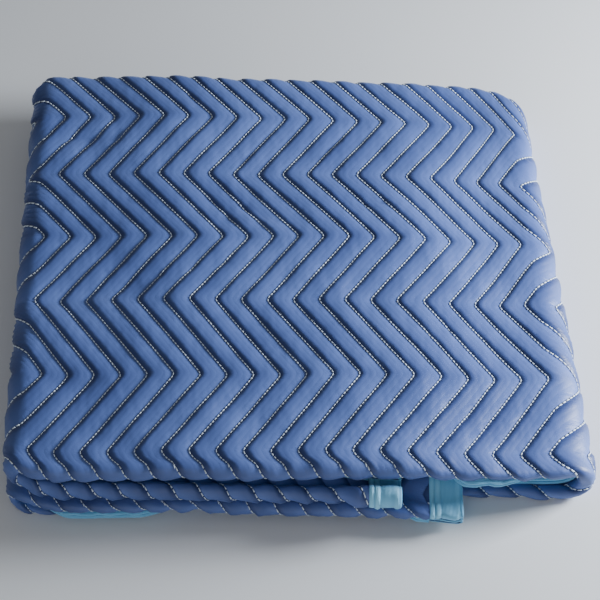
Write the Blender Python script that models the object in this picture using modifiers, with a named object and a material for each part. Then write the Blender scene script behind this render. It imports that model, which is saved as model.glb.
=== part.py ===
"""A quilted moving blanket, folded into a pad.

The cloth is one flat sheet with a tape binding sewn round its edge. Along its length it is folded into
four plies, which makes a long bundle. Both ends of the bundle are turned in as flaps, and the whole is
folded once more at the right. X runs across the pad, -Y is its front, and +Z is up. The origin is at
the middle of its underside.
"""

import bisect
import math
from collections import namedtuple

import bmesh
import bpy

# Driving sizes, in metres.
PAD_WIDTH = 0.551
PAD_DEPTH = 0.514
PLY = 0.0045  # from the middle of one ply to the middle of the next
CLOTH = 0.0038
EDGE_CLOTH = 0.0015  # the cloth where the tape presses it flat
EDGE_RAMP = 0.003  # where the cloth thins to that
TAPE = 0.0008
TAPE_GAP = 0.0003
TAPE_REACH = 0.028  # how far the tape covers each face of the cloth
TAPE_LIFT = 0.5 * EDGE_CLOTH + TAPE_GAP + 0.5 * TAPE
TAPE_NOSE = 0.0006  # how far the tape stands off the cloth's edge before it turns round it

# Folds of the bundle, seen from the front.
SLACK = 0.0004
BUNDLE = 4 * PLY
TURN = 0.5 * BUNDLE + SLACK  # radius of the two left folds, at the bundle's middle
WRAP = 0.0165  # radius of the right fold, at the bundle's middle
LOFT = 1.40  # how much looser the plies lie at the right fold
LEFT = -0.5 * PAD_WIDTH + TURN + 0.5 * BUNDLE
RIGHT = 0.5 * PAD_WIDTH - WRAP - 0.5 * BUNDLE * LOFT
UPPER_FLAP_END = LEFT + 0.359
LOWER_FLAP_END = LEFT + 0.416
LOFT_START = LOWER_FLAP_END + 0.032  # where the plies begin to lie looser

# Levels of the bundle's middle in each panel.
LEVEL_BOTTOM = 1.5 * PLY + 0.5 * CLOTH
LEVEL_LOWER_FLAP = LEVEL_BOTTOM + 2 * TURN
LEVEL_UPPER_FLAP = LEVEL_LOWER_FLAP + BUNDLE + SLACK
LEVEL_TOP = LEVEL_UPPER_FLAP + 2 * TURN
LEVEL_BOTTOM_RIGHT = 1.5 * PLY * LOFT + 0.5 * CLOTH
LEVEL_TOP_RIGHT = LEVEL_BOTTOM_RIGHT + 2 * WRAP

# Places across the pad and along its depth that all plies share, so that neighbours divide alike.
STATION_X = 0.25 * (UPPER_FLAP_END - LEFT)
STATION_Y = 0.122
TURN_PARTS = 5
WRAP_PARTS = 6

# Folds of the sheet's length, seen from the side.
FRONT = -0.5 * PAD_DEPTH + 0.5 * PLY + 0.5 * CLOTH
BACK = 0.5 * PAD_DEPTH - 1.5 * PLY - 0.5 * CLOTH

# Unevenness of the pad.
SAG = 0.15  # share of the height lost toward the right
SAG_BACK = 0.05  # more of it at the back, less at the front
SPLAY_RIGHT = 0.019  # how far the right side swings out at the front, and in at the back
SPLAY_LEFT = 0.004
MIDDLE_X = 0.00678  # the middle of the uneven pad, which becomes the origin
MIDDLE_Y = 0.00239

# How far the bundle stands back from the front line of the pad, and how far its bound ends stand back
# behind the rolled fold beside them, by the share of the bundle's length from the upper flap's end.
Setting = namedtuple("Setting", "share where back ends_back")
SETTINGS = (
    Setting(0.00, "upper flap, free edge", -0.007, 0.000),
    Setting(0.05, "upper flap, near its edge", -0.004, 0.005),
    Setting(0.18, "upper left fold", 0.000, 0.009),
    Setting(0.36, "top panel, over the flaps", 0.003, 0.009),
    Setting(0.43, "top panel, past the flaps", 0.008, 0.000),
    Setting(0.48, "right fold", 0.013, -0.002),
    Setting(0.545, "bottom panel, right", 0.015, 0.000),
    Setting(0.61, "bottom panel, under the flaps", -0.001, 0.000),
    Setting(0.76, "lower left fold", 0.004, 0.004),
    Setting(0.80, "lower flap, left", -0.003, 0.000),
    Setting(0.90, "lower flap, middle", -0.006, 0.005),
    Setting(1.00, "lower flap, free edge", -0.010, 0.001),
)

# How much each corner of the pad is rounded off, seen from above.
Corner = namedtuple("Corner", "side end trim reach")
CORNERS = (
    Corner(-1, +1, 0.010, 0.030),
    Corner(+1, +1, 0.026, 0.090),
    Corner(-1, -1, 0.014, 0.060),
    Corner(+1, -1, 0.006, 0.050),
)

CLOTH_COLOUR = (0.072, 0.125, 0.330, 1.0)
TAPE_COLOUR = (0.140, 0.360, 0.500, 1.0)

Place = namedtuple("Place", "across height normal_across normal_height extra")


def blend(a, b, t):
    return a + (b - a) * t


def ease(t):
    """A smooth step from 0 to 1."""
    t = min(max(t, 0.0), 1.0)
    return t * t * (3 - 2 * t)


class Line:
    """A folded line of straight pieces, which gives a place and a mitred normal at any length along it."""

    def __init__(self, points):
        self.points = points
        self.runs = [0.0]
        for (a, b, _), (c, d, _) in zip(points, points[1:]):
            self.runs.append(self.runs[-1] + math.hypot(c - a, d - b))
        self.length = self.runs[-1]

    def normal(self, k):
        (a, b, _), (c, d, _) = self.points[k], self.points[k + 1]
        span = math.hypot(c - a, d - b)
        return (b - d) / span, (c - a) / span

    def at(self, run):
        k = min(max(bisect.bisect_right(self.runs, run) - 1, 0), len(self.points) - 2)
        t = (run - self.runs[k]) / (self.runs[k + 1] - self.runs[k])
        (a, b, e), (c, d, f) = self.points[k], self.points[k + 1]
        n = self.normal(k)
        if k and abs(t) < 1e-6:
            m = self.normal(k - 1)
            even = 1 + n[0] * m[0] + n[1] * m[1]
            n = ((n[0] + m[0]) / even, (n[1] + m[1]) / even)
        return Place(blend(a, c, t), blend(b, d, t), n[0], n[1], blend(e, f, min(max(t, 0), 1)))


def stations(start, end, origin, step):
    """Two places and the shared stations between them, in the order of travel."""
    low, high = min(start, end), max(start, end)
    inner = [origin + step * k for k in range(1, int((high - origin) / step) + 1)]
    inner = [x for x in inner if low + 0.15 * step < x < high - 0.15 * step]
    return [start] + sorted(inner, reverse=end < start) + [end]


def half_turn(middle, level, radius, side, rising, parts, extra):
    """The points inside a half turn: side is +1 or -1, and rising says whether it goes up."""
    angles = [math.pi * (k / parts - 0.5) * (1 if rising else -1) for k in range(1, parts)]
    return [(middle + side * radius * math.cos(a), level + radius * math.sin(a), extra) for a in angles]


def loft_at(x):
    return blend(1.0, LOFT, ease((x - LOFT_START) / (RIGHT - LOFT_START)))


def top_level(x):
    return blend(LEVEL_TOP, LEVEL_TOP_RIGHT, ease((x - UPPER_FLAP_END) / (RIGHT - UPPER_FLAP_END)))


def bottom_level(x):
    return 1.5 * PLY * loft_at(x) + 0.5 * CLOTH


def bundle_line():
    """The bundle's middle seen from the front, from the upper flap's free edge to the lower flap's."""
    panel = stations(LEFT, RIGHT, LEFT, STATION_X)
    points = [(x, LEVEL_UPPER_FLAP, 1.0) for x in stations(UPPER_FLAP_END, LEFT, LEFT, STATION_X)]
    points += half_turn(LEFT, 0.5 * (LEVEL_UPPER_FLAP + LEVEL_TOP), TURN, -1, True, TURN_PARTS, 1.0)
    points += [(x, top_level(x), loft_at(x)) for x in panel]
    middle_right = 0.5 * (LEVEL_BOTTOM_RIGHT + LEVEL_TOP_RIGHT)
    points += half_turn(RIGHT, middle_right, WRAP, 1, False, WRAP_PARTS, LOFT)
    points += [(x, bottom_level(x), loft_at(x)) for x in reversed(panel)]
    points += half_turn(LEFT, 0.5 * (LEVEL_BOTTOM + LEVEL_LOWER_FLAP), TURN, -1, True, TURN_PARTS, 1.0)
    points += [(x, LEVEL_LOWER_FLAP, 1.0) for x in stations(LEFT, LOWER_FLAP_END, LEFT, STATION_X)]
    return Line(points)


def ply_line():
    """The four plies of the bundle seen from the side. The third number says how near a bound end is."""
    rows = stations(FRONT, BACK, FRONT, STATION_Y)
    end = FRONT - 0.5 * PLY
    ends = [(y, (BACK - y) / (BACK - FRONT)) for y in [end] + rows[1:]]
    points = [(y, -1.5 * PLY, near) for y, near in ends]
    points += half_turn(BACK, 0.0, 1.5 * PLY, 1, True, WRAP_PARTS, 0.0)
    points += [(y, 1.5 * PLY, 0.0) for y in reversed(rows)]
    points += half_turn(FRONT, PLY, 0.5 * PLY, -1, False, TURN_PARTS, 0.0)
    points += [(y, 0.5 * PLY, 0.0) for y in rows]
    points += half_turn(BACK, 0.0, 0.5 * PLY, 1, False, TURN_PARTS, 0.0)
    points += [(y, -0.5 * PLY, near) for y, near in reversed(ends)]
    return Line(points)


BUNDLE_LINE = bundle_line()
PLY_LINE = ply_line()


def setting_at(share):
    """How far back the bundle and its bound ends stand, at a share of the bundle's length."""
    share = min(max(share, 0.0), 1.0)
    k = min(max(bisect.bisect_right([s.share for s in SETTINGS], share) - 1, 0), len(SETTINGS) - 2)
    low, high = SETTINGS[k], SETTINGS[k + 1]
    t = ease((share - low.share) / (high.share - low.share))
    return blend(low.back, high.back, t), blend(low.ends_back, high.ends_back, t)


def uneven(x, y, z):
    """The neat pad with its real lean: lower at the right, splayed, and with rounded corners."""
    half_width, half_depth = 0.5 * PAD_WIDTH, 0.5 * PAD_DEPTH
    depth_share = y / half_depth
    splay = SPLAY_RIGHT if x > 0 else SPLAY_LEFT
    lean = (SAG + SAG_BACK * depth_share) * ease((x + 0.3 * PAD_WIDTH) / (0.7 * PAD_WIDTH))
    trim = 0.0
    for corner in CORNERS:
        beyond = (corner.side * x - half_width + corner.reach) / corner.reach
        if beyond > 0 and corner.end * y > 0:
            trim += corner.end * corner.trim * min(beyond, 1.0) ** 2 * abs(depth_share)
    rest = 0.5 * CLOTH
    return x - splay * depth_share * (x / half_width) ** 2, y - trim, rest + (z - rest) * (1 - lean)


def place(across, along, lift=0.0):
    """Where a point of the flat sheet lies: how far across and along it is, and how far off its middle."""
    bundle = BUNDLE_LINE.at(across)
    ply = PLY_LINE.at(along)
    back, ends_back = setting_at(across / BUNDLE_LINE.length)
    height = ply.height * bundle.extra + lift * ply.normal_height
    x = bundle.across + height * bundle.normal_across
    y = ply.across + lift * ply.normal_across + back + ends_back * ply.extra
    x, y, z = uneven(x, y, bundle.height + height * bundle.normal_height)
    return x - MIDDLE_X, y - MIDDLE_Y, z


def sheet_mesh(name, columns, rows, locate):
    """A grid whose column and row numbers are turned into places by the function given."""
    mesh = bpy.data.meshes.new(name)
    bm = bmesh.new()
    bmesh.ops.create_grid(bm, x_segments=columns - 1, y_segments=rows - 1, size=0.5)
    for vertex in bm.verts:
        column = round((vertex.co.x + 0.5) * (columns - 1))
        row = round((vertex.co.y + 0.5) * (rows - 1))
        vertex.co = locate(column, row)
    bm.to_mesh(mesh)
    bm.free()
    mesh.shade_smooth()
    mesh.set_sharp_from_angle(angle=math.radians(40))
    return mesh


def solid_sheet(name, mesh, thickness, collection, colour, roughness):
    """An object made from an open sheet, given its thickness to both sides."""
    material = bpy.data.materials.new(name + "_finish")
    material.use_nodes = True
    shader = material.node_tree.nodes["Principled BSDF"]
    shader.inputs["Base Color"].default_value = colour
    shader.inputs["Roughness"].default_value = roughness
    mesh.materials.append(material)
    item = bpy.data.objects.new(name, mesh)
    collection.objects.link(item)
    wall = item.modifiers.new("thickness", "SOLIDIFY")
    wall.thickness = thickness
    wall.offset = 0.0
    wall.use_even_offset = True
    wall.thickness_clamp = 0.0
    return item, wall


def with_edges(runs, length, steps):
    """The runs along a line, with extra ones at given steps from both ends."""
    extra = list(steps) + [length - step for step in steps]
    kept = [run for run in runs if run in (0.0, length) or all(abs(run - e) > 0.002 for e in extra)]
    return sorted(kept + extra)


def make_cloth(collection):
    """The quilted sheet, in one piece, thinner round its edge where the tape holds it."""
    steps = (TAPE_REACH, TAPE_REACH + EDGE_RAMP)
    across = with_edges(BUNDLE_LINE.runs, BUNDLE_LINE.length, steps)
    along = with_edges(PLY_LINE.runs, PLY_LINE.length, steps)
    mesh = sheet_mesh("quilted_cloth", len(across), len(along), lambda i, j: place(across[i], along[j]))
    item, wall = solid_sheet("quilted_cloth", mesh, CLOTH, collection, CLOTH_COLOUR, 0.45)
    full = item.vertex_groups.new(name="full_thickness")
    bm = bmesh.new()
    bmesh.ops.create_grid(bm, x_segments=len(across) - 1, y_segments=len(along) - 1, size=0.5)
    inner = TAPE_REACH + 0.5 * EDGE_RAMP
    for vertex in bm.verts:
        run = across[round((vertex.co.x + 0.5) * (len(across) - 1))]
        rise = along[round((vertex.co.y + 0.5) * (len(along) - 1))]
        inside_across = inner < run < BUNDLE_LINE.length - inner
        inside_along = inner < rise < PLY_LINE.length - inner
        if inside_across and inside_along:
            full.add([vertex.index], 1.0, "REPLACE")
    bm.free()
    wall.vertex_group = full.name
    wall.thickness_vertex_group = EDGE_CLOTH / CLOTH


def tape_section(edge, inward):
    """The tape's section round an edge: a run on the sheet and a lift off its middle, point by point."""
    face = edge + inward * TAPE_REACH
    brink = edge - inward * TAPE_NOSE
    nose = brink - inward * TAPE_LIFT
    return ((face, TAPE_LIFT), (brink, TAPE_LIFT), (nose, 0.0), (brink, -TAPE_LIFT), (face, -TAPE_LIFT))


def make_side_tape(name, edge, inward, collection):
    """The tape on a flap's free edge, over the whole length of the sheet."""
    section = tape_section(edge, inward)
    rows = PLY_LINE.runs
    locate = lambda i, j: place(section[i][0], rows[j], section[i][1])
    mesh = sheet_mesh(name, len(section), len(rows), locate)
    solid_sheet(name, mesh, TAPE, collection, TAPE_COLOUR, 0.6)


def make_end_tape(name, edge, inward, collection):
    """The tape on one end of the sheet, between the two side tapes."""
    section = tape_section(edge, inward)
    start = TAPE_REACH + 2 * TAPE_GAP
    inner = [r for r in BUNDLE_LINE.runs if start + 0.004 < r < BUNDLE_LINE.length - start - 0.004]
    columns = [start] + inner + [BUNDLE_LINE.length - start]
    locate = lambda i, j: place(columns[i], section[j][0], section[j][1])
    mesh = sheet_mesh(name, len(columns), len(section), locate)
    solid_sheet(name, mesh, TAPE, collection, TAPE_COLOUR, 0.6)


def main():
    for item in list(bpy.data.objects):
        bpy.data.objects.remove(item, do_unlink=True)
    collection = bpy.data.collections.new("moving_blanket")
    bpy.context.scene.collection.children.link(collection)
    make_cloth(collection)
    make_side_tape("binding_upper_flap", 0.0, 1, collection)
    make_side_tape("binding_lower_flap", BUNDLE_LINE.length, -1, collection)
    make_end_tape("binding_inner_end", 0.0, 1, collection)
    make_end_tape("binding_outer_end", PLY_LINE.length, -1, collection)


main()
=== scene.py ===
"""A quilted moving blanket, folded into a pad, on a pale floor.

The blanket is worked out flat first: the zigzag quilting, its puffs and its stitches are laid on the
sheet as it was sewn, and every point is then carried to its place in the folds.
"""

import math
from collections import namedtuple

import bmesh
import bpy
import numpy as np
from mathutils import Matrix, Vector


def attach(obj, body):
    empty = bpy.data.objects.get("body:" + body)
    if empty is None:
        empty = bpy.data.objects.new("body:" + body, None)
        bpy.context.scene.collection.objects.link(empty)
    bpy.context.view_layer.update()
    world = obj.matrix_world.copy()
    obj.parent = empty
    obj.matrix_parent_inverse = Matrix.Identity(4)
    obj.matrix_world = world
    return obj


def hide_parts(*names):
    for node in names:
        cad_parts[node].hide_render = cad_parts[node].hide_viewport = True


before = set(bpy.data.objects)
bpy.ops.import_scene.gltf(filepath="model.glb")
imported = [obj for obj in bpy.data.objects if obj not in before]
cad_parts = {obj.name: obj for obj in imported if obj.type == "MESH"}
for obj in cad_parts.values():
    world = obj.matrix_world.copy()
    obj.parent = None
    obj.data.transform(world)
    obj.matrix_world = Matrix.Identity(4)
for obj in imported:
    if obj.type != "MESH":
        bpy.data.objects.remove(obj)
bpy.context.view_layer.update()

# The folded pad, in metres, as the CAD solids have it.
PAD_WIDTH = 0.551
PAD_DEPTH = 0.514
PLY = 0.0045
CLOTH = 0.0038
TAPE = 0.0008
TAPE_REACH = 0.028
TAPE_LIFT = 0.00145
TAPE_NOSE = 0.0006
EDGE_LIFT = 0.0004  # from the sheet's middle to its face, under the tape
SLACK = 0.0004
BUNDLE = 4 * PLY
TURN = 0.5 * BUNDLE + SLACK
WRAP = 0.0165
LOFT = 1.40
LEFT = -0.5 * PAD_WIDTH + TURN + 0.5 * BUNDLE
RIGHT = 0.5 * PAD_WIDTH - WRAP - 0.5 * BUNDLE * LOFT
UPPER_FLAP_END = LEFT + 0.359
LOWER_FLAP_END = LEFT + 0.416
LOFT_START = LOWER_FLAP_END + 0.032
LEVEL_BOTTOM = 1.5 * PLY + 0.5 * CLOTH
LEVEL_LOWER_FLAP = LEVEL_BOTTOM + 2 * TURN
LEVEL_UPPER_FLAP = LEVEL_LOWER_FLAP + BUNDLE + SLACK
LEVEL_TOP = LEVEL_UPPER_FLAP + 2 * TURN
LEVEL_BOTTOM_RIGHT = 1.5 * PLY * LOFT + 0.5 * CLOTH
LEVEL_TOP_RIGHT = LEVEL_BOTTOM_RIGHT + 2 * WRAP
FRONT = -0.5 * PAD_DEPTH + 0.5 * PLY + 0.5 * CLOTH
BACK = 0.5 * PAD_DEPTH - 1.5 * PLY - 0.5 * CLOTH
FRONT_EDGE = FRONT - 0.5 * PLY
ROLL_REACH = 0.012  # how far behind a front roll its swelling dies away
FAT_ROLL = 1.6  # past this fatness, the swelling reaches further back
FAT_REACH = 0.005
FLOOR_GAP = 0.0003  # under the puffs that the pad's weight presses flat
ROLL_STRETCH = 1.4  # how much longer the swollen roll is than the tight one
DROP_REACH = 0.028  # and how far behind the front line the flaps start to hang down
DROP = 0.010  # how far the flaps' fronts hang down
BACK_DIP = 0.006  # how far the top's back sinks past the flaps
FRONT_SINK = 0.0015  # how far the top's front and back edges sink
BACK_SINK = 0.001
SAG = 0.15
SAG_BACK = 0.05
SPLAY_RIGHT = 0.019
SPLAY_LEFT = 0.004
MIDDLE_X = 0.00678
MIDDLE_Y = 0.00239

# The bundle's front, by the share of its length from the upper flap's free edge: how far it stands back
# from the pad's front line, how far its bound ends stand back behind the rolled fold beside them, and how
# much fatter than tight that roll is.
Setting = namedtuple("Setting", "share where back ends_back roll")
SETTINGS = (
    Setting(0.000, "upper flap, free edge", -0.013, 0.026, 3.5),
    Setting(0.014, "upper flap, inside the tape", -0.012, 0.026, 3.3),
    Setting(0.030, "upper flap, past the tape", -0.004, 0.021, 1.3),
    Setting(0.170, "upper flap, left", -0.001, 0.019, 1.3),
    Setting(0.198, "upper left fold", 0.001, 0.019, 1.3),
    Setting(0.300, "top panel, middle", 0.004, 0.020, 1.6),
    Setting(0.395, "top panel, past the upper flap", 0.008, 0.020, 1.5),
    Setting(0.412, "top panel, roll drawn tight", 0.009, 0.019, 0.3),
    Setting(0.430, "top panel, past both flaps", 0.009, -0.003, 0.3),
    Setting(0.442, "top panel, right", 0.011, -0.003, 0.3),
    Setting(0.468, "right fold, its hollow", 0.015, 0.013, 0.3),
    Setting(0.499, "right fold", 0.016, 0.012, 0.4),
    Setting(0.520, "bottom panel, right", 0.020, 0.010, 0.5),
    Setting(0.548, "bottom panel, by the lower flap", 0.020, 0.010, 0.5),
    Setting(0.575, "bottom panel, under the flaps", 0.010, 0.010, 0.2),
    Setting(0.730, "bottom panel, left", 0.008, 0.010, 0.2),
    Setting(0.765, "lower left fold", -0.003, 0.008, 0.0),
    Setting(0.788, "lower left fold, ends drawn in", -0.007, 0.008, 0.0),
    Setting(0.806, "lower flap, left", -0.008, -0.001, 0.0),
    Setting(0.838, "lower flap, bound ends showing", -0.008, 0.000, 0.0),
    Setting(0.870, "lower flap, ends drawn in", -0.006, 0.015, 0.1),
    Setting(0.885, "lower flap, middle", -0.008, 0.016, 1.3),
    Setting(0.955, "lower flap, near its edge", -0.010, 0.016, 1.3),
    Setting(0.968, "lower flap, roll drawn tight", -0.012, 0.014, 0.1),
    Setting(0.980, "lower flap, inside the tape", -0.014, 0.002, 0.0),
    Setting(1.000, "lower flap, free edge", -0.016, 0.000, 0.0),
)

# The pad's corners: the side and the end, how far the edge is drawn in there, and over what length.
Corner = namedtuple("Corner", "side end trim reach")
CORNERS = (
    Corner(-1, +1, 0.010, 0.030),
    Corner(+1, +1, 0.031, 0.090),
    Corner(-1, -1, 0.014, 0.060),
    Corner(+1, -1, 0.006, 0.050),
)

# How much of the flaps' drop a layer has, by its height in the neat pad.
Layer = namedtuple("Layer", "height share where")
HANGING = (
    Layer(0.000, 0.00, "the surface it rests on"),
    Layer(0.019, 1.00, "top of the bottom panel"),
    Layer(0.036, 0.95, "top of the lower flap"),
    Layer(0.046, 0.75, "inside the upper flap"),
    Layer(0.056, 0.45, "top of the upper flap"),
    Layer(0.064, 0.20, "inside the top panel"),
    Layer(0.075, 0.10, "top panel"),
)

# Slow waves of the soft top: their height, how fast they turn along X and Y, and where they start.
Wave = namedtuple("Wave", "height by_x by_y start")
WAVES = (Wave(0.0007, 41, 3, 0.0), Wave(0.0006, -17, 29, 1.1), Wave(0.0004, 83, 61, 0.7))

# Ripples across the top's front edge at the right, and gathers of the rolled fronts below it.
RIPPLE = 0.0007
RIPPLE_STEP = 0.0147
Gather = namedtuple("Gather", "depth step start")
GATHERS = (Gather(0.0008, 0.0230, 1.0), Gather(0.0005, 0.0093, 0.0))

# The quilting, on the flat sheet.
PITCH = 0.0257  # from one stitched line to the next
SWING = 2.46 * PITCH  # how far a line swings across, from side to side
ROUND = 0.0035  # how much of each point is rounded
VALLEY = 0.0006  # from the sheet's middle to its face, at a stitched line
CREST = 0.0039  # and at a puff's highest, which is nearer the line on its left
CREST_AT = 0.24
FLATTENED = 0.6  # how much of a puff is lost where the flaps press on each other
LINE_X = 0.0045  # a line's middle place on the top panel
LEAN_FROM = -0.0045  # where on the top panel the lines stand as sewn
LEAN = 0.06  # how much they lean, and bend, toward the back
BEND = 0.12
POINT_STEP = 0.0852  # from one point of the zigzag to the next, away from the top panel
INNER_PUFF = 0.25  # how much of a puff is left where plies press on each other
PLAIN_FACE = 0.0011  # from the sheet's middle to its plain back
STITCH = 0.0029
STITCH_STEP = 0.0042
STITCH_SHIFT = 0.0017  # from one line's stitches to the next line's
STITCH_TAPER = 0.45  # how much thinner it is at its ends
THREAD = 0.00108
THREAD_FLAT = 0.8  # a laid thread's height, as a share of its width
THREAD_PROUD = 0.0011  # from the face in the groove to the thread's middle

# Points of the zigzag on the top panel, by their distance from the middle of the pad's depth.
POINTS_Y = (0.2795, 0.1945, 0.1125, 0.0285, -0.0535, -0.1455, -0.2345)

# Main creases on the top, as soft troughs: from one place to another, in the pad's X and Y.
Crease = namedtuple("Crease", "x0 y0 x1 y1 width depth")
CREASES = (
    Crease(-0.275, -0.065, -0.120, -0.022, 0.010, 0.0022),
    Crease(-0.230, 0.161, -0.170, 0.168, 0.012, 0.0016),
    Crease(-0.080, 0.042, -0.030, 0.089, 0.007, 0.0014),
    Crease(-0.100, 0.060, -0.060, 0.098, 0.005, 0.0009),
    Crease(0.148, -0.150, 0.155, -0.208, 0.004, 0.0011),
    Crease(0.172, -0.158, 0.170, -0.204, 0.004, 0.0009),
    Crease(0.205, -0.215, 0.200, -0.250, 0.004, 0.0010),
    Crease(-0.267, 0.170, -0.195, 0.163, 0.005, 0.0016),
    Crease(-0.259, 0.156, -0.212, 0.169, 0.004, 0.0012),
    Crease(-0.091, 0.075, -0.060, 0.069, 0.004, 0.0014),
    Crease(-0.056, 0.074, -0.010, 0.051, 0.005, 0.0018),
    Crease(-0.110, -0.016, -0.046, 0.004, 0.005, 0.0017),
    Crease(-0.150, -0.018, -0.110, -0.026, 0.004, 0.0015),
    Crease(-0.110, 0.237, -0.100, 0.205, 0.004, 0.0014),
    Crease(0.054, 0.074, 0.103, 0.086, 0.005, 0.0013),
    Crease(-0.190, 0.205, -0.179, 0.150, 0.005, 0.0009),
    Crease(0.130, -0.088, 0.170, -0.073, 0.005, 0.0013),
    Crease(-0.229, -0.162, -0.172, -0.148, 0.006, 0.0014),
    Crease(0.034, 0.150, 0.057, 0.182, 0.004, 0.0012),
)


def ease(t):
    """A smooth step from 0 to 1."""
    t = np.clip(t, 0.0, 1.0)
    return t * t * (3 - 2 * t)


def blend(a, b, t):
    return a + (b - a) * t


class FoldedLine:
    """A folded line, sampled finely, with its normal to the left of travel."""

    END = 0.02  # how far the line runs on, straight, past each end

    def __init__(self, points):
        p = np.array(points, float)
        first = p[0, :2] + (p[0, :2] - p[1, :2]) / np.linalg.norm(p[0, :2] - p[1, :2]) * self.END
        last = p[-1, :2] + (p[-1, :2] - p[-2, :2]) / np.linalg.norm(p[-1, :2] - p[-2, :2]) * self.END
        p = np.vstack([[*first, p[0, 2]], p, [*last, p[-1, 2]]])
        steps = np.diff(p[:, :2], axis=0)
        spans = np.hypot(steps[:, 0], steps[:, 1])
        self.run = np.concatenate([[0.0], np.cumsum(spans)]) - self.END
        self.length = self.run[-2]
        normals = np.stack([-steps[:, 1], steps[:, 0]], 1) / spans[:, None]
        normals = np.vstack([normals[:1], normals[:-1] + normals[1:], normals[-1:]])
        self.normals = normals / np.linalg.norm(normals, axis=1)[:, None]
        self.points = p

    def at(self, run):
        cells = [np.interp(run, self.run, column) for column in (*self.points.T, *self.normals.T)]
        size = np.hypot(cells[3], cells[4])
        return cells[0], cells[1], cells[2], cells[3] / size, cells[4] / size


def straight(start, end, step=0.008):
    return np.linspace(start, end, max(int(abs(end - start) / step), 2) + 1)


def half_turn(middle, level, radius, side, rising, extra, parts=24):
    angles = math.pi * (np.arange(1, parts) / parts - 0.5) * (1 if rising else -1)
    return [(middle + side * radius * math.cos(a), level + radius * math.sin(a), extra) for a in angles]


def loft_at(x):
    return blend(1.0, LOFT, ease((x - LOFT_START) / (RIGHT - LOFT_START)))


def top_level(x):
    return blend(LEVEL_TOP, LEVEL_TOP_RIGHT, ease((x - UPPER_FLAP_END) / (RIGHT - UPPER_FLAP_END)))


def bundle_line():
    """The bundle's middle seen from the front, from the upper flap's free edge to the lower flap's."""
    points = [(x, LEVEL_UPPER_FLAP, 1.0) for x in straight(UPPER_FLAP_END, LEFT)]
    points += half_turn(LEFT, 0.5 * (LEVEL_UPPER_FLAP + LEVEL_TOP), TURN, -1, True, 1.0)
    points += [(x, top_level(x), loft_at(x)) for x in straight(LEFT, RIGHT)]
    points += half_turn(RIGHT, 0.5 * (LEVEL_BOTTOM_RIGHT + LEVEL_TOP_RIGHT), WRAP, 1, False, LOFT)
    points += [(x, 1.5 * PLY * loft_at(x) + 0.5 * CLOTH, loft_at(x)) for x in straight(RIGHT, LEFT)]
    points += half_turn(LEFT, 0.5 * (LEVEL_BOTTOM + LEVEL_LOWER_FLAP), TURN, -1, True, 1.0)
    points += [(x, LEVEL_LOWER_FLAP, 1.0) for x in straight(LEFT, LOWER_FLAP_END)]
    return FoldedLine(points)


def ply_line():
    """The four plies seen from the side, from one bound end to the other."""
    share = lambda y: (BACK - y) / (BACK - FRONT)
    end = FRONT - 0.5 * PLY
    points = [(y, -1.5 * PLY, share(y)) for y in straight(end, BACK)]
    points += half_turn(BACK, 0.0, 1.5 * PLY, 1, True, 0.0)
    points += [(y, 1.5 * PLY, 0.0) for y in straight(BACK, FRONT)]
    points += half_turn(FRONT, PLY, 0.5 * PLY, -1, False, 0.0)
    points += [(y, 0.5 * PLY, 0.0) for y in straight(FRONT, BACK)]
    points += half_turn(BACK, 0.0, 0.5 * PLY, 1, False, 0.0)
    points += [(y, -0.5 * PLY, share(y)) for y in straight(BACK, end)]
    return FoldedLine(points)


BUNDLE_LINE = bundle_line()
PLY_LINE = ply_line()

# Lengths along the sheet where one stretch of it ends and the next begins.
SPAN = BACK - FRONT
OUTER_TURN = SPAN + 0.5 * PLY
TOP_PLY = OUTER_TURN + math.pi * 1.5 * PLY
FRONT_ROLL = TOP_PLY + SPAN
THIRD_PLY = FRONT_ROLL + math.pi * 0.5 * PLY
INNER_TURN = THIRD_PLY + SPAN
FOURTH_PLY = INNER_TURN + math.pi * 0.5 * PLY
TOP_PANEL_RUN = (UPPER_FLAP_END - LEFT) + math.pi * TURN  # where the top panel starts at the left fold


def setting_at(share):
    """How far back the bundle and its bound ends stand, and how fat its roll is, at a share of its length."""
    places = np.array([s.share for s in SETTINGS])
    k = np.clip(np.searchsorted(places, share, side="right") - 1, 0, len(places) - 2)
    t = ease((share - places[k]) / (places[k + 1] - places[k]))
    columns = [np.array([getattr(s, name) for s in SETTINGS]) for name in ("back", "ends_back", "roll")]
    return [blend(column[k], column[k + 1], t) for column in columns]


def swollen(y, w, roll):
    """A place on the plies, with the front roll fatter than tight. The bound ends, below 0, don't swell."""
    reach = ROLL_REACH + FAT_REACH * np.maximum(roll - FAT_ROLL, 0)
    much = np.where(w > 0, roll * (1 - ease((y - FRONT) / reach)), 0.0)
    return y + much * (np.minimum(y, FRONT) - FRONT_EDGE), w - much * (1.5 * PLY - w)


def hang(x, y, z):
    """The height once the flaps' fronts hang down on what is under them, out to the lower flap's edge."""
    front = ease((-0.5 * PAD_DEPTH + DROP_REACH - y) / DROP_REACH)
    here = ease((x + 0.5 * PAD_WIDTH + 0.01) / 0.07) * ease((LOWER_FLAP_END + 0.020 - x) / 0.022)
    heights = [layer.height for layer in HANGING]
    shares = [layer.share for layer in HANGING]
    return z - DROP * front * here * np.interp(z, heights, shares)


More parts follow.
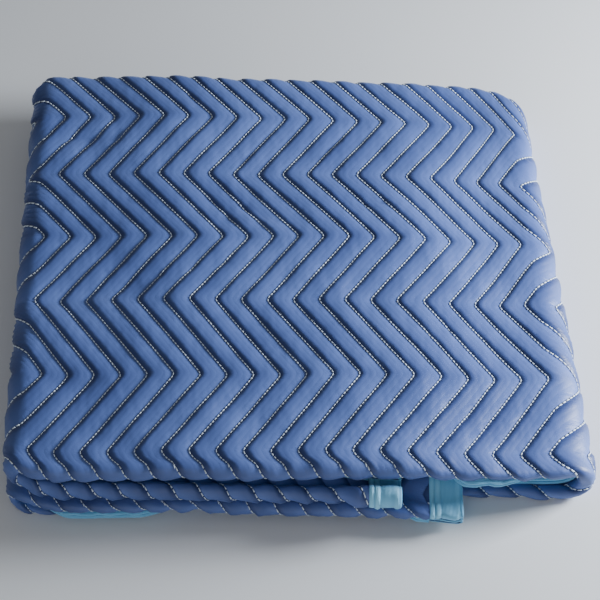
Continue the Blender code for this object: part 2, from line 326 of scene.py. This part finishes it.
def uneven(x, y, z):
    """The neat pad with its real lean: lower at the right, splayed, and with rounded corners."""
    half_width, half_depth = 0.5 * PAD_WIDTH, 0.5 * PAD_DEPTH
    depth_share = y / half_depth
    splay = np.where(x > 0, SPLAY_RIGHT, SPLAY_LEFT)
    lean = (SAG + SAG_BACK * depth_share) * ease((x + 0.3 * PAD_WIDTH) / (0.7 * PAD_WIDTH))
    trim = np.zeros_like(x)
    for corner in CORNERS:
        beyond = np.clip((corner.side * x - half_width + corner.reach) / corner.reach, 0.0, 1.0)
        here = corner.end * y > 0
        trim += here * corner.end * corner.trim * beyond**2 * np.abs(depth_share)
    rest = 0.5 * CLOTH
    return x - splay * depth_share * (x / half_width) ** 4, y - trim, rest + (z - rest) * (1 - lean)


def crumple(x, y, z):
    """What a soft top does on its own: edges that sink, slow waves, and the main creases."""
    height = ease((z - 0.55 * LEVEL_TOP) / (0.45 * LEVEL_TOP))
    front = ease((-y - 0.5 * PAD_DEPTH + 0.045) / 0.045)
    back = ease((y - 0.5 * PAD_DEPTH + 0.040) / 0.040)
    z = hang(x, y, z) - height * (FRONT_SINK * front**2 + BACK_SINK * back**2)
    wave = sum(w.height * np.sin(w.by_x * x + w.by_y * y + w.start) for w in WAVES)
    dip = ease((y - 0.10) / 0.14) * ease((x + 0.16) / 0.24)
    z = z + height * (wave - BACK_DIP * dip)
    for crease in CREASES:
        dx, dy = crease.x1 - crease.x0, crease.y1 - crease.y0
        length = math.hypot(dx, dy)
        along = ((x - crease.x0) * dx + (y - crease.y0) * dy) / length**2
        aside = ((x - crease.x0) * dy - (y - crease.y0) * dx) / length
        fade = ease(along / 0.25) * ease((1 - along) / 0.25)
        z = z - height * crease.depth * fade * np.exp(-((aside / crease.width) ** 2))
    z = np.maximum(z, FLOOR_GAP)
    ripple = ease((-y - 0.5 * PAD_DEPTH + 0.030) / 0.030)
    z = z - height * ripple * ease((x - 0.05) / 0.06) * RIPPLE * np.sin(2 * math.pi * x / RIPPLE_STEP + 40 * y)
    low = ease((z - 0.008) / 0.008) * ease((0.052 - z) / 0.008)
    gather = sum(g.depth * np.sin(2 * math.pi * x / g.step + g.start) for g in GATHERS)
    return x, y + low * ripple * gather, z


def place(across, along, lift):
    """Where points of the flat sheet lie in the folded pad, lifted off the sheet's middle."""
    x, z, loft, normal_x, normal_z = BUNDLE_LINE.at(across)
    y, w, near_end, normal_y, normal_w = PLY_LINE.at(along)
    back, ends_back, roll = setting_at(np.clip(across / BUNDLE_LINE.length, 0, 1))
    y, w = swollen(y, w, roll)
    height = w * loft + lift * normal_w
    y = y + lift * normal_y + back + ends_back * near_end
    x, y, z = crumple(*uneven(x + height * normal_x, y, z + height * normal_z))
    return np.stack([x - MIDDLE_X, y - MIDDLE_Y, z], 1)


def zigzag_points():
    """The lengths along the sheet where the quilting lines turn, and to which side each turn points."""
    on_top = TOP_PLY + (BACK - np.array(POINTS_Y))
    before = on_top[0] - POINT_STEP * np.arange(14, 0, -1)
    after = on_top[-1] + POINT_STEP * np.arange(1, 20)
    points = np.concatenate([before, on_top, after])
    return points, np.resize((-0.5, 0.5), len(points))


def real_length(along):
    """A length along the sheet with the swollen front roll taken at its real size."""
    return along + ROLL_STRETCH * np.clip(along - FRONT_ROLL, 0, THIRD_PLY - FRONT_ROLL)


def zigzag(along):
    """How far the quilting lines are swung across, at a length along the sheet."""
    points, sides = zigzag_points()
    shifts = (-ROUND, -0.4 * ROUND, 0, 0.4 * ROUND, ROUND)
    return SWING * sum(np.interp(real_length(along) + shift, points, sides) for shift in shifts) / len(shifts)


def drift(along):
    """The slight lean of the lines, which grows toward the back of the pad."""
    y = np.clip(BACK - (along - TOP_PLY), -0.5 * PAD_DEPTH, 0.5 * PAD_DEPTH)
    return -LEAN * (y - LEAN_FROM) - BEND * (y - LEAN_FROM) ** 2


def shape_of(along):
    return zigzag(along) + drift(along)


LINE_START = (TOP_PANEL_RUN + LINE_X - LEFT) % PITCH


def quilt(across, along):
    """The share of the way from one stitched line to the next, and the distance to the nearest, 0 to 1."""
    share = ((across - shape_of(along) - LINE_START) / PITCH) % 1.0
    return share, 2 * np.minimum(share, 1 - share)


def outer_share(along):
    """1 where a ply is on the outside of its bundle, and 0 where it is pressed between others."""
    rise = ease((along - OUTER_TURN + 0.02) / 0.02)
    fall = ease((THIRD_PLY + 0.02 - along) / 0.02)
    return rise * fall


def edge_share(across, along):
    """0 under the tape, and 1 where the cloth has its full thickness."""
    edge = np.minimum.reduce([across, BUNDLE_LINE.length - across, along, PLY_LINE.length - along])
    return ease((edge - TAPE_REACH + 0.001) / 0.006)


def pressed(across, along):
    """1 where the two flaps press on each other inside the pad, and 0 at their folds and front rolls."""
    upper = ease((UPPER_FLAP_END - LEFT - across) / 0.02)
    lower = ease((across - BUNDLE_LINE.length + LOWER_FLAP_END - LEFT) / 0.02)
    inside = ease((along - TOP_PLY) / 0.02) * ease((FRONT_ROLL - 0.006 - along) / 0.012)
    return np.maximum(upper, lower) * inside


def face_lift(across, along):
    """How far the quilted face stands off the sheet's middle."""
    share = quilt(across, along)[0]
    climb = np.clip(np.minimum(share / CREST_AT, (1 - share) / (1 - CREST_AT)), 0, 1)
    dome = 1 - (1 - climb) ** 2.1
    vary = 1 + 0.10 * np.sin(171 * across + 97 * along) + 0.08 * np.sin(67 * across - 143 * along + 2)
    puff = (CREST - VALLEY) * dome * vary * blend(INNER_PUFF, 1.0, outer_share(along))
    puff = puff * (1 - FLATTENED * pressed(across, along))
    return -blend(EDGE_LIFT, VALLEY + puff, edge_share(across, along))


# Steps between the rows that the face is divided by, along its length.
END_STRETCH = 0.036  # the bound ends, which hang at the front
END_ROW = 0.007
INSIDE_ROW = 0.052  # plies that don't show
PANEL_ROW = 0.0056
ROLL_ROW = 0.00105


def even_rows(start, end, step):
    return np.linspace(start, end, max(int(round((end - start) / step)), 1) + 1)[:-1]


def rows_along():
    """Where the face is divided along its length: finely where it shows, and coarsely inside."""
    points = zigzag_points()[0]
    near_front = FRONT_ROLL - ROLL_REACH
    turns = [TOP_PLY, *points[(points > TOP_PLY + 0.004) & (points < near_front - 0.004)], near_front]
    rows = [even_rows(0.0, END_STRETCH, END_ROW), even_rows(END_STRETCH, OUTER_TURN, INSIDE_ROW)]
    rows += [even_rows(OUTER_TURN, TOP_PLY, 0.0021)]
    for a, b in zip(turns, turns[1:]):
        t = even_rows(0.0, 1.0, PANEL_ROW / (b - a))
        rows.append(a + (b - a) * (t - 0.07 * np.sin(2 * math.pi * t)))
    rows += [even_rows(near_front, FRONT_ROLL, 0.003), even_rows(FRONT_ROLL, THIRD_PLY, ROLL_ROW)]
    rows += [even_rows(THIRD_PLY, THIRD_PLY + 0.014, 0.0024)]
    rows += [even_rows(THIRD_PLY + 0.014, THIRD_PLY + 0.032, 0.006)]
    rows += [even_rows(THIRD_PLY + 0.032, INNER_TURN, INSIDE_ROW), even_rows(INNER_TURN, FOURTH_PLY, 0.0026)]
    end = PLY_LINE.length
    rows += [even_rows(FOURTH_PLY, end - END_STRETCH, INSIDE_ROW)]
    rows += [even_rows(end - END_STRETCH, end, END_ROW), [end]]
    return np.concatenate(rows)


def columns_across():
    """Where the face is divided across, measured before the lines are swung: closer by each line."""
    shares = np.array((0.0, 0.06, 0.16, 0.32, 0.52, 0.74, 0.94))
    first = int(-SWING / PITCH) - 2
    count = int((BUNDLE_LINE.length + 2 * SWING) / PITCH) + 4
    starts = LINE_START + PITCH * np.arange(first, first + count)
    return (starts[:, None] + PITCH * shares[None, :]).ravel()


def flat_grid(columns, rows):
    """A grid of the flat sheet, as a bmesh, with its columns and rows where they are asked for."""
    bm = bmesh.new()
    bmesh.ops.create_grid(bm, x_segments=len(columns) - 1, y_segments=len(rows) - 1, size=0.5)
    for vertex in bm.verts:
        i = round((vertex.co.x + 0.5) * (len(columns) - 1))
        j = round((vertex.co.y + 0.5) * (len(rows) - 1))
        vertex.co = (columns[i], rows[j], 0.0)
    return bm


def read_places(mesh):
    flat = np.empty(3 * len(mesh.vertices))
    mesh.vertices.foreach_get("co", flat)
    return flat.reshape(-1, 3)


def keep_flat_map(mesh, flat):
    """Stores where each point lay on the flat sheet, in metres, as the mesh's UV map."""
    corners = np.empty(len(mesh.loops), np.int32)
    mesh.loops.foreach_get("vertex_index", corners)
    layer = mesh.uv_layers.new(name="flat")
    layer.uv.foreach_set("vector", flat[corners, :2].astype(np.float32).ravel())


def add_piece(name, mesh, material):
    piece = bpy.data.objects.new(name, mesh)
    bpy.context.scene.collection.objects.link(piece)
    mesh.materials.append(material)
    mesh.shade_smooth()
    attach(piece, "root")
    return piece


def quilted_mesh():
    """The blanket's face, quilted, and its plain back, joined as one sheet."""
    columns, rows = columns_across(), rows_along()
    bm = flat_grid(columns, rows)
    swing = np.interp([vertex.co.y for vertex in bm.verts], rows, shape_of(rows))
    for vertex, shift in zip(bm.verts, swing):
        vertex.co.x += shift
    for edge, outward in ((0.0, -1), (BUNDLE_LINE.length, 1)):
        everything = bm.verts[:] + bm.edges[:] + bm.faces[:]
        bmesh.ops.bisect_plane(
            bm, geom=everything, plane_co=(edge, 0, 0), plane_no=(outward, 0, 0), clear_outer=True
        )
    for vertex in bm.verts:
        vertex.co.z = -1.0
    plain_rows = np.linspace(0, PLY_LINE.length, 40)
    bends = ((OUTER_TURN, TOP_PLY), (FRONT_ROLL, THIRD_PLY))
    turned = [np.linspace(a - 0.012, b + 0.012, 12) for a, b in bends]
    turned += [np.linspace(a, a + 0.024, 5) for a in (0, FRONT_ROLL - END_STRETCH, THIRD_PLY + 0.012)]
    turned += [np.linspace(PLY_LINE.length - END_STRETCH, PLY_LINE.length, 6)]
    turned += [np.linspace(INNER_TURN, FOURTH_PLY, 6)]
    plain_rows = np.unique(np.round(np.concatenate([plain_rows, *turned]), 6))
    back = flat_grid(np.linspace(0, BUNDLE_LINE.length, 110), plain_rows)
    for vertex in back.verts:
        vertex.co.z = 1.0
    bmesh.ops.reverse_faces(bm, faces=bm.faces[:])
    spare = bpy.data.meshes.new("spare")
    back.to_mesh(spare)
    back.free()
    bm.from_mesh(spare)
    bpy.data.meshes.remove(spare)
    mesh = bpy.data.meshes.new("quilted_blanket")
    bm.to_mesh(mesh)
    bm.free()
    flat = read_places(mesh)
    keep_flat_map(mesh, flat)
    across, along = flat[:, 0], flat[:, 1]
    face = flat[:, 2] < 0
    plain = blend(EDGE_LIFT, PLAIN_FACE, edge_share(across, along))
    lift = np.where(face, face_lift(across, along), plain)
    share, near = quilt(across, along)
    # puff_share, from one stitched line to the next, also lays out the cloth's painted shade and painted
    # highlight
    for name, value, on_back in (("seam_distance", near, 1.0), ("puff_share", np.round(share, 5) % 1.0, 0.3)):
        layer = mesh.attributes.new(name, "FLOAT", "POINT")
        layer.data.foreach_set("value", np.where(face, value, on_back).astype(np.float32))
    mesh.vertices.foreach_set("co", place(across, along, lift).ravel())
    mesh.update()
    return mesh


# Colours, each from its darkest tone to its palest.
NAVY = ((0.024, 0.046, 0.170, 1.0), (0.118, 0.190, 0.500, 1.0))
TAPE_BLUE = ((0.100, 0.400, 0.700, 1.0), (0.330, 0.760, 1.000, 1.0))
PALE_THREAD = ((0.76, 0.88, 1.0, 1.0), (0.90, 0.96, 1.0, 1.0))
PALE_FLOOR = ((0.86, 0.86, 0.86, 1.0), (0.90, 0.90, 0.90, 1.0))


def noise(tree, coordinates, scale, detail=2.0, roughness=0.5):
    node = tree.nodes.new("ShaderNodeTexNoise")
    node.inputs["Scale"].default_value = scale
    node.inputs["Detail"].default_value = detail
    node.inputs["Roughness"].default_value = roughness
    tree.links.new(coordinates, node.inputs["Vector"])
    return node.outputs["Fac"]


def math_node(tree, operation, *values):
    node = tree.nodes.new("ShaderNodeMath")
    node.operation = operation
    for socket, value in zip(node.inputs, values):
        if isinstance(value, (int, float)):
            socket.default_value = value
        else:
            tree.links.new(value, socket)
    return node.outputs[0]


def stored(tree, name):
    """A value that the mesh keeps for each of its points."""
    node = tree.nodes.new("ShaderNodeAttribute")
    node.attribute_name = name
    return node.outputs["Fac"]


def raise_by(tree, shader, height, strength, distance):
    """Lets a height roughen the shader's surface."""
    bump = tree.nodes.new("ShaderNodeBump")
    bump.inputs["Strength"].default_value = strength
    bump.inputs["Distance"].default_value = distance
    tree.links.new(height, bump.inputs["Height"])
    tree.links.new(bump.outputs["Normal"], shader.inputs["Normal"])


def weighted(tree, *terms):
    """The sum of some values, each with its weight."""
    total = 0.0
    for value, weight in terms:
        total = math_node(tree, "MULTIPLY_ADD", value, weight, total)
    return total


def map_range(tree, value, low, high, to_low, to_high):
    node = tree.nodes.new("ShaderNodeMapRange")
    tree.links.new(value, node.inputs["Value"])
    for name, number in (("From Min", low), ("From Max", high), ("To Min", to_low), ("To Max", to_high)):
        node.inputs[name].default_value = number
    return node.outputs["Result"]


def new_material(name, roughness):
    material = bpy.data.materials.new(name)
    material.use_nodes = True
    shader = material.node_tree.nodes["Principled BSDF"]
    shader.inputs["Roughness"].default_value = roughness
    return material, material.node_tree, shader


def mapped(tree, source, scale):
    node = tree.nodes.new("ShaderNodeMapping")
    node.inputs["Scale"].default_value = scale
    tree.links.new(source, node.inputs["Vector"])
    return node.outputs["Vector"]


def mix_colour(tree, share, first, second):
    node = tree.nodes.new("ShaderNodeMix")
    node.data_type = "RGBA"
    tree.links.new(share, node.inputs["Factor"])
    node.inputs["A"].default_value = first
    node.inputs["B"].default_value = second
    return node.outputs["Result"]


def slow_tone_group():
    """A slow change of tone over a surface, from 0 to 1, shared by the cloth, the tape and the thread."""
    group = bpy.data.node_groups.new("slow_tone", "ShaderNodeTree")
    group.interface.new_socket("Where", in_out="INPUT", socket_type="NodeSocketVector")
    size = group.interface.new_socket("Size", in_out="INPUT", socket_type="NodeSocketFloat")
    size.default_value = 10.0
    group.interface.new_socket("Tone", in_out="OUTPUT", socket_type="NodeSocketFloat")
    inputs = group.nodes.new("NodeGroupInput")
    outputs = group.nodes.new("NodeGroupOutput")
    texture = group.nodes.new("ShaderNodeTexNoise")
    texture.inputs["Detail"].default_value = 3.0
    group.links.new(inputs.outputs["Where"], texture.inputs["Vector"])
    group.links.new(inputs.outputs["Size"], texture.inputs["Scale"])
    group.links.new(texture.outputs["Fac"], outputs.inputs["Tone"])
    return group


def slow_tone(tree, where, size):
    node = tree.nodes.new("ShaderNodeGroup")
    node.node_tree = bpy.data.node_groups.get("slow_tone") or slow_tone_group()
    node.inputs["Size"].default_value = size
    tree.links.new(where, node.inputs["Where"])
    return node.outputs["Tone"]


def cloth_material():
    """Navy cloth with a soft sheen: painted shade in the groove just right of each stitched line, a painted
    highlight on each puff's slope toward the next line at its right, puckers, small folds and weave.
    """
    material, tree, shader = new_material("navy_quilt", 0.46)
    where = tree.nodes.new("ShaderNodeTexCoord").outputs["UV"]
    by_seam = map_range(tree, stored(tree, "seam_distance"), 0.0, 0.75, 1.0, 0.0)
    puff = stored(tree, "puff_share")
    # painted shade, darkest just right of each stitched line, where the puff's steep side faces away from the
    # light at the right
    painted_groove_shade = map_range(tree, puff, 0.02, 0.26, -0.42, 0.0)
    # painted highlight, growing across each puff toward the next line at its right, on the slope that faces
    # the light
    painted_slope_highlight = map_range(tree, puff, 0.20, 0.95, -0.08, 0.44)
    slow = slow_tone(tree, where, 9.0)
    tone = weighted(tree, (slow, 0.9), (painted_groove_shade, 1.0), (painted_slope_highlight, 1.0))
    colour = mix_colour(tree, tone, *NAVY)
    tree.links.new(colour, shader.inputs["Base Color"])
    pucker = noise(tree, mapped(tree, where, (0.5, 1.0, 1.0)), 150.0, 3.0, 0.6)
    pucker = math_node(tree, "MULTIPLY", pucker, by_seam)
    fold = noise(tree, mapped(tree, where, (1.0, 0.5, 1.0)), 38.0, 2.0, 0.6)
    weave = noise(tree, mapped(tree, where, (1.0, 0.5, 1.0)), 1600.0, 1.0)
    height = weighted(tree, (pucker, 1.1), (fold, 1.3), (weave, 0.05))
    raise_by(tree, shader, height, 0.8, 0.0021)
    rough = map_range(tree, slow, 0.3, 0.7, 0.42, 0.50)
    tree.links.new(rough, shader.inputs["Roughness"])
    shader.inputs["Sheen Weight"].default_value = 0.25
    shader.inputs["Sheen Roughness"].default_value = 0.45
    shader.inputs["Sheen Tint"].default_value = (0.55, 0.68, 1.0, 1.0)
    return material


def tape_material():
    """Pale blue woven tape, ribbed along its length, with a painted highlight on its ridges, where it stands
    proud.
    """
    material, tree, shader = new_material("blue_tape", 0.6)
    where = tree.nodes.new("ShaderNodeTexCoord").outputs["UV"]
    ribs = tree.nodes.new("ShaderNodeTexWave")
    ribs.inputs["Scale"].default_value = 260.0
    ribs.bands_direction = "X"
    tree.links.new(where, ribs.inputs["Vector"])
    slow = slow_tone(tree, where, 60.0)
    # painted highlight: the tape's colour is lighter where its ridges stand proud
    ridge = stored(tree, "ridge")
    tone = weighted(tree, (slow, 0.45), (ribs.outputs["Fac"], 0.2), (ridge, 0.5))
    colour = mix_colour(tree, tone, *TAPE_BLUE)
    tree.links.new(colour, shader.inputs["Base Color"])
    raise_by(tree, shader, ribs.outputs["Fac"], 0.5, 0.0004)
    shader.inputs["Sheen Weight"].default_value = 0.2
    return material


def thread_material():
    material, tree, shader = new_material("pale_thread", 0.5)
    where = tree.nodes.new("ShaderNodeTexCoord").outputs["Object"]
    fine = slow_tone(tree, where, 900.0)
    colour = mix_colour(tree, fine, *PALE_THREAD)
    tree.links.new(colour, shader.inputs["Base Color"])
    return material


def stitch_form():
    """One stitch, lying along X: a few faces, because there are thousands."""
    bm = bmesh.new()
    bmesh.ops.create_cone(
        bm, cap_ends=True, segments=5, radius1=1.0, radius2=1.0, depth=1.0,
        matrix=Matrix.Rotation(math.pi / 2, 4, "Y"),
    )
    bmesh.ops.triangulate(bm, faces=bm.faces[:])
    points = np.array([v.co[:] for v in bm.verts])
    faces = np.array([[v.index for v in f.verts] for f in bm.faces])
    bm.free()
    return points, faces


def stitch_mesh(name, across, along, direction, sink):
    """Stitches at places on the flat sheet, each turned along its line, as one mesh."""
    points, faces = stitch_form()
    length = points[:, 0] * STITCH
    taper = 1 - STITCH_TAPER * (np.abs(points[:, 0]) > 0.49)
    aside = points[:, 1] * THREAD * taper
    lift = points[:, 2] * THREAD * THREAD_FLAT * taper
    cos, sin = np.cos(direction), np.sin(direction)
    u = across[:, None] + length[None] * cos[:, None] - aside[None] * sin[:, None]
    on_roll = (along > FRONT_ROLL) & (along < THIRD_PLY)
    shrink = np.where(on_roll, 1 / (1 + ROLL_STRETCH), 1.0)[:, None]
    v = along[:, None] + (length[None] * sin[:, None] + aside[None] * cos[:, None]) * shrink
    h = sink[:, None] + lift[None]
    places = place(u.ravel(), v.ravel(), h.ravel())
    firsts = np.arange(len(across)) * len(points)
    corners = (faces[None] + firsts[:, None, None]).reshape(-1, 3)
    mesh = bpy.data.meshes.new(name)
    mesh.from_pydata(places.tolist(), [], corners.tolist())
    mesh.update()
    return mesh


def quilting_stitches():
    """Where the quilting stitches lie, along every line on the outside of the pad."""
    across, along, direction = [], [], []
    start, end = OUTER_TURN - 0.004, THIRD_PLY + 0.006
    v = np.arange(start, end, 0.0002)
    u = shape_of(v)
    run = np.concatenate([[0.0], np.cumsum(np.hypot(np.diff(u), np.diff(real_length(v))))])
    steps = np.arange(0, run[-1], STITCH_STEP)
    for k in range(-4, int(BUNDLE_LINE.length / PITCH) + 4):
        at = steps + (k * STITCH_SHIFT) % STITCH_STEP
        vs = np.interp(at, run, v)
        us = np.interp(at, run, u) + LINE_START + k * PITCH
        ahead = np.clip(vs + 3e-4, v[0], v[-1])
        angles = np.arctan2(real_length(ahead) - real_length(vs), np.interp(ahead, v, u) - np.interp(vs, v, u))
        keep = (us > TAPE_REACH) & (us < BUNDLE_LINE.length - TAPE_REACH)
        on_panel = (us > TOP_PANEL_RUN - 0.05) & (us < BUNDLE_LINE.length - (LOWER_FLAP_END - LEFT) + 0.02)
        at_roll = (vs > FRONT_ROLL - 0.01) | (vs < TOP_PLY + 0.004)
        keep &= on_panel | at_roll
        across.append(us[keep])
        along.append(vs[keep])
        direction.append(angles[keep])
    return np.concatenate(across), np.concatenate(along), np.concatenate(direction)


def tape_mesh(name, columns, rows, flip):
    """A strip with a column for each point of the tape's section and a row for each of its lengths."""
    mesh = bpy.data.meshes.new(name)
    bm = bmesh.new()
    bmesh.ops.create_grid(bm, x_segments=len(columns) - 1, y_segments=len(rows) - 1, size=0.5)
    if flip:
        bmesh.ops.reverse_faces(bm, faces=bm.faces[:])
    bm.to_mesh(mesh)
    bm.free()
    return mesh


# The tape's face, from its inner edge to the sheet's: how far in, and how far it stands proud.
TapePoint = namedtuple("TapePoint", "run proud where")
TAPE_FACE = (
    TapePoint(0.0280, 0.0000, "inner edge"),
    TapePoint(0.0274, 0.0006, "inner ridge"),
    TapePoint(0.0256, 0.0009, "inner ridge"),
    TapePoint(0.0240, 0.0006, "inner ridge"),
    TapePoint(0.0232, -0.0002, "first seam"),
    TapePoint(0.0224, 0.0006, "second ridge"),
    TapePoint(0.0202, 0.0009, "second ridge"),
    TapePoint(0.0182, 0.0005, "second ridge"),
    TapePoint(0.0174, -0.0002, "second seam"),
    TapePoint(0.0166, 0.0003, "flat"),
    TapePoint(0.0100, 0.0003, "flat"),
    TapePoint(0.0050, 0.0002, "flat"),
    TapePoint(0.0030, 0.0006, "outer ridge"),
    TapePoint(0.0012, 0.0005, "outer ridge"),
    TapePoint(0.0000, 0.0000, "sheet's edge"),
)


def tape_section(edge, inward):
    """The tape's section round an edge: its runs on the sheet, its lifts off the middle and its own width."""
    face = np.array([(point.run, TAPE_LIFT + point.proud) for point in TAPE_FACE])
    nose = np.linspace(0, math.pi, 7)
    bend = np.stack([-TAPE_NOSE - TAPE_LIFT * np.sin(nose), TAPE_LIFT * np.cos(nose)], 1)
    section = np.concatenate([face, bend, face[::-1] * (1, -1)])
    width = np.concatenate([[0.0], np.cumsum(np.hypot(*np.diff(section, axis=0).T))])
    return edge + inward * section[:, 0], section[:, 1], width


def make_tape(name, node, side, edge, inward, material):
    section, lift, width = tape_section(edge, inward)
    if side:
        lengths = rows_along()
    else:
        start = TAPE_REACH + 0.0006
        lengths = np.arange(start, BUNDLE_LINE.length - start, 0.0055)
        lengths = np.append(lengths, BUNDLE_LINE.length - start)
    mesh = tape_mesh(name, section, lengths, flip=(inward > 0) == side)
    flat = read_places(mesh)
    i = np.round((flat[:, 0] + 0.5) * (len(section) - 1)).astype(int)
    j = np.round((flat[:, 1] + 0.5) * (len(lengths) - 1)).astype(int)
    keep_flat_map(mesh, np.stack([width[i], lengths[j]], 1))
    proud = np.clip((np.abs(lift) - TAPE_LIFT) / 0.0009, 0, 1)
    # how far the tape stands proud, which the tape's colour turns into a painted highlight on its ridges
    mesh.attributes.new("ridge", "FLOAT", "POINT").data.foreach_set("value", proud[i].astype(np.float32))
    across, along = (section[i], lengths[j]) if side else (lengths[j], section[i])
    wander = np.sin(2 * math.pi * lengths[j] / 0.009 + 3 * np.sin(40 * lengths[j]))
    gather = np.sign(lift[i]) * proud[i] * 0.0002 * wander
    mesh.vertices.foreach_set("co", place(across, along, lift[i] + gather).ravel())
    mesh.update()
    piece = add_piece(name, mesh, material)
    wall = piece.modifiers.new("thickness", "SOLIDIFY")
    wall.thickness = TAPE
    wall.offset = 0.0
    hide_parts(node)
    return piece


CAMERA_AT = (0.0020, -1.3299, 1.706)
CAMERA_DOWN = 52  # degrees below level
CAMERA_LENS = 125.5


def area_light(name, place_at, aim, size, power, colour):
    data = bpy.data.lights.new(name, "AREA")
    data.shape = "RECTANGLE"
    data.size, data.size_y = size
    data.energy = power
    data.color = colour
    lamp = bpy.data.objects.new(name, data)
    lamp.location = place_at
    lamp.rotation_euler = (Vector(aim) - Vector(place_at)).to_track_quat("-Z", "Y").to_euler()
    bpy.context.scene.collection.objects.link(lamp)


def make_studio():
    """A pale floor, soft light from the right, a little fill from the front, and the camera."""
    mesh = bpy.data.meshes.new("floor")
    bm = bmesh.new()
    bmesh.ops.create_grid(bm, x_segments=1, y_segments=1, size=6.0)
    bm.to_mesh(mesh)
    bm.free()
    floor = bpy.data.objects.new("floor", mesh)
    bpy.context.scene.collection.objects.link(floor)
    material, tree, shader = new_material("pale_floor", 0.7)
    where = tree.nodes.new("ShaderNodeTexCoord").outputs["Object"]
    colour = mix_colour(tree, noise(tree, where, 3.0), *PALE_FLOOR)
    tree.links.new(colour, shader.inputs["Base Color"])
    mesh.materials.append(material)
    world = bpy.data.worlds.new("studio")
    world.use_nodes = True
    background = world.node_tree.nodes["Background"]
    background.inputs["Color"].default_value = (0.93, 0.96, 1.0, 1.0)
    background.inputs["Strength"].default_value = 0.20
    bpy.context.scene.world = world
    area_light("key", (1.25, 0.12, 0.45), (0.05, 0.0, 0.0), (0.4, 0.4), 47.0, (0.84, 0.91, 1.0))
    area_light("fill", (-0.3, -1.9, 0.8), (0.0, 0.0, 0.0), (1.5, 1.5), 7.0, (0.90, 0.95, 1.0))
    camera = bpy.data.cameras.new("camera")
    camera.sensor_width = 36.0
    camera.lens = CAMERA_LENS
    viewer = bpy.data.objects.new("camera", camera)
    viewer.location = CAMERA_AT
    viewer.rotation_euler = (math.radians(90 - CAMERA_DOWN), 0.0, 0.0)
    bpy.context.scene.collection.objects.link(viewer)
    bpy.context.scene.camera = viewer


def main():
    cloth, tape, thread = cloth_material(), tape_material(), thread_material()
    blanket = add_piece("quilted_blanket", quilted_mesh(), cloth)
    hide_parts("quilted_cloth")
    make_tape("binding_upper", "binding_upper_flap", True, 0.0, 1, tape)
    make_tape("binding_lower", "binding_lower_flap", True, BUNDLE_LINE.length, -1, tape)
    make_tape("binding_inner", "binding_inner_end", False, 0.0, 1, tape)
    make_tape("binding_outer", "binding_outer_end", False, PLY_LINE.length, -1, tape)
    across, along, direction = quilting_stitches()
    sink = face_lift(across, along) - THREAD_PROUD
    mesh = stitch_mesh("quilting_thread", across, along, direction, sink)
    stitches = add_piece("quilting_thread", mesh, thread)
    make_studio()


main()
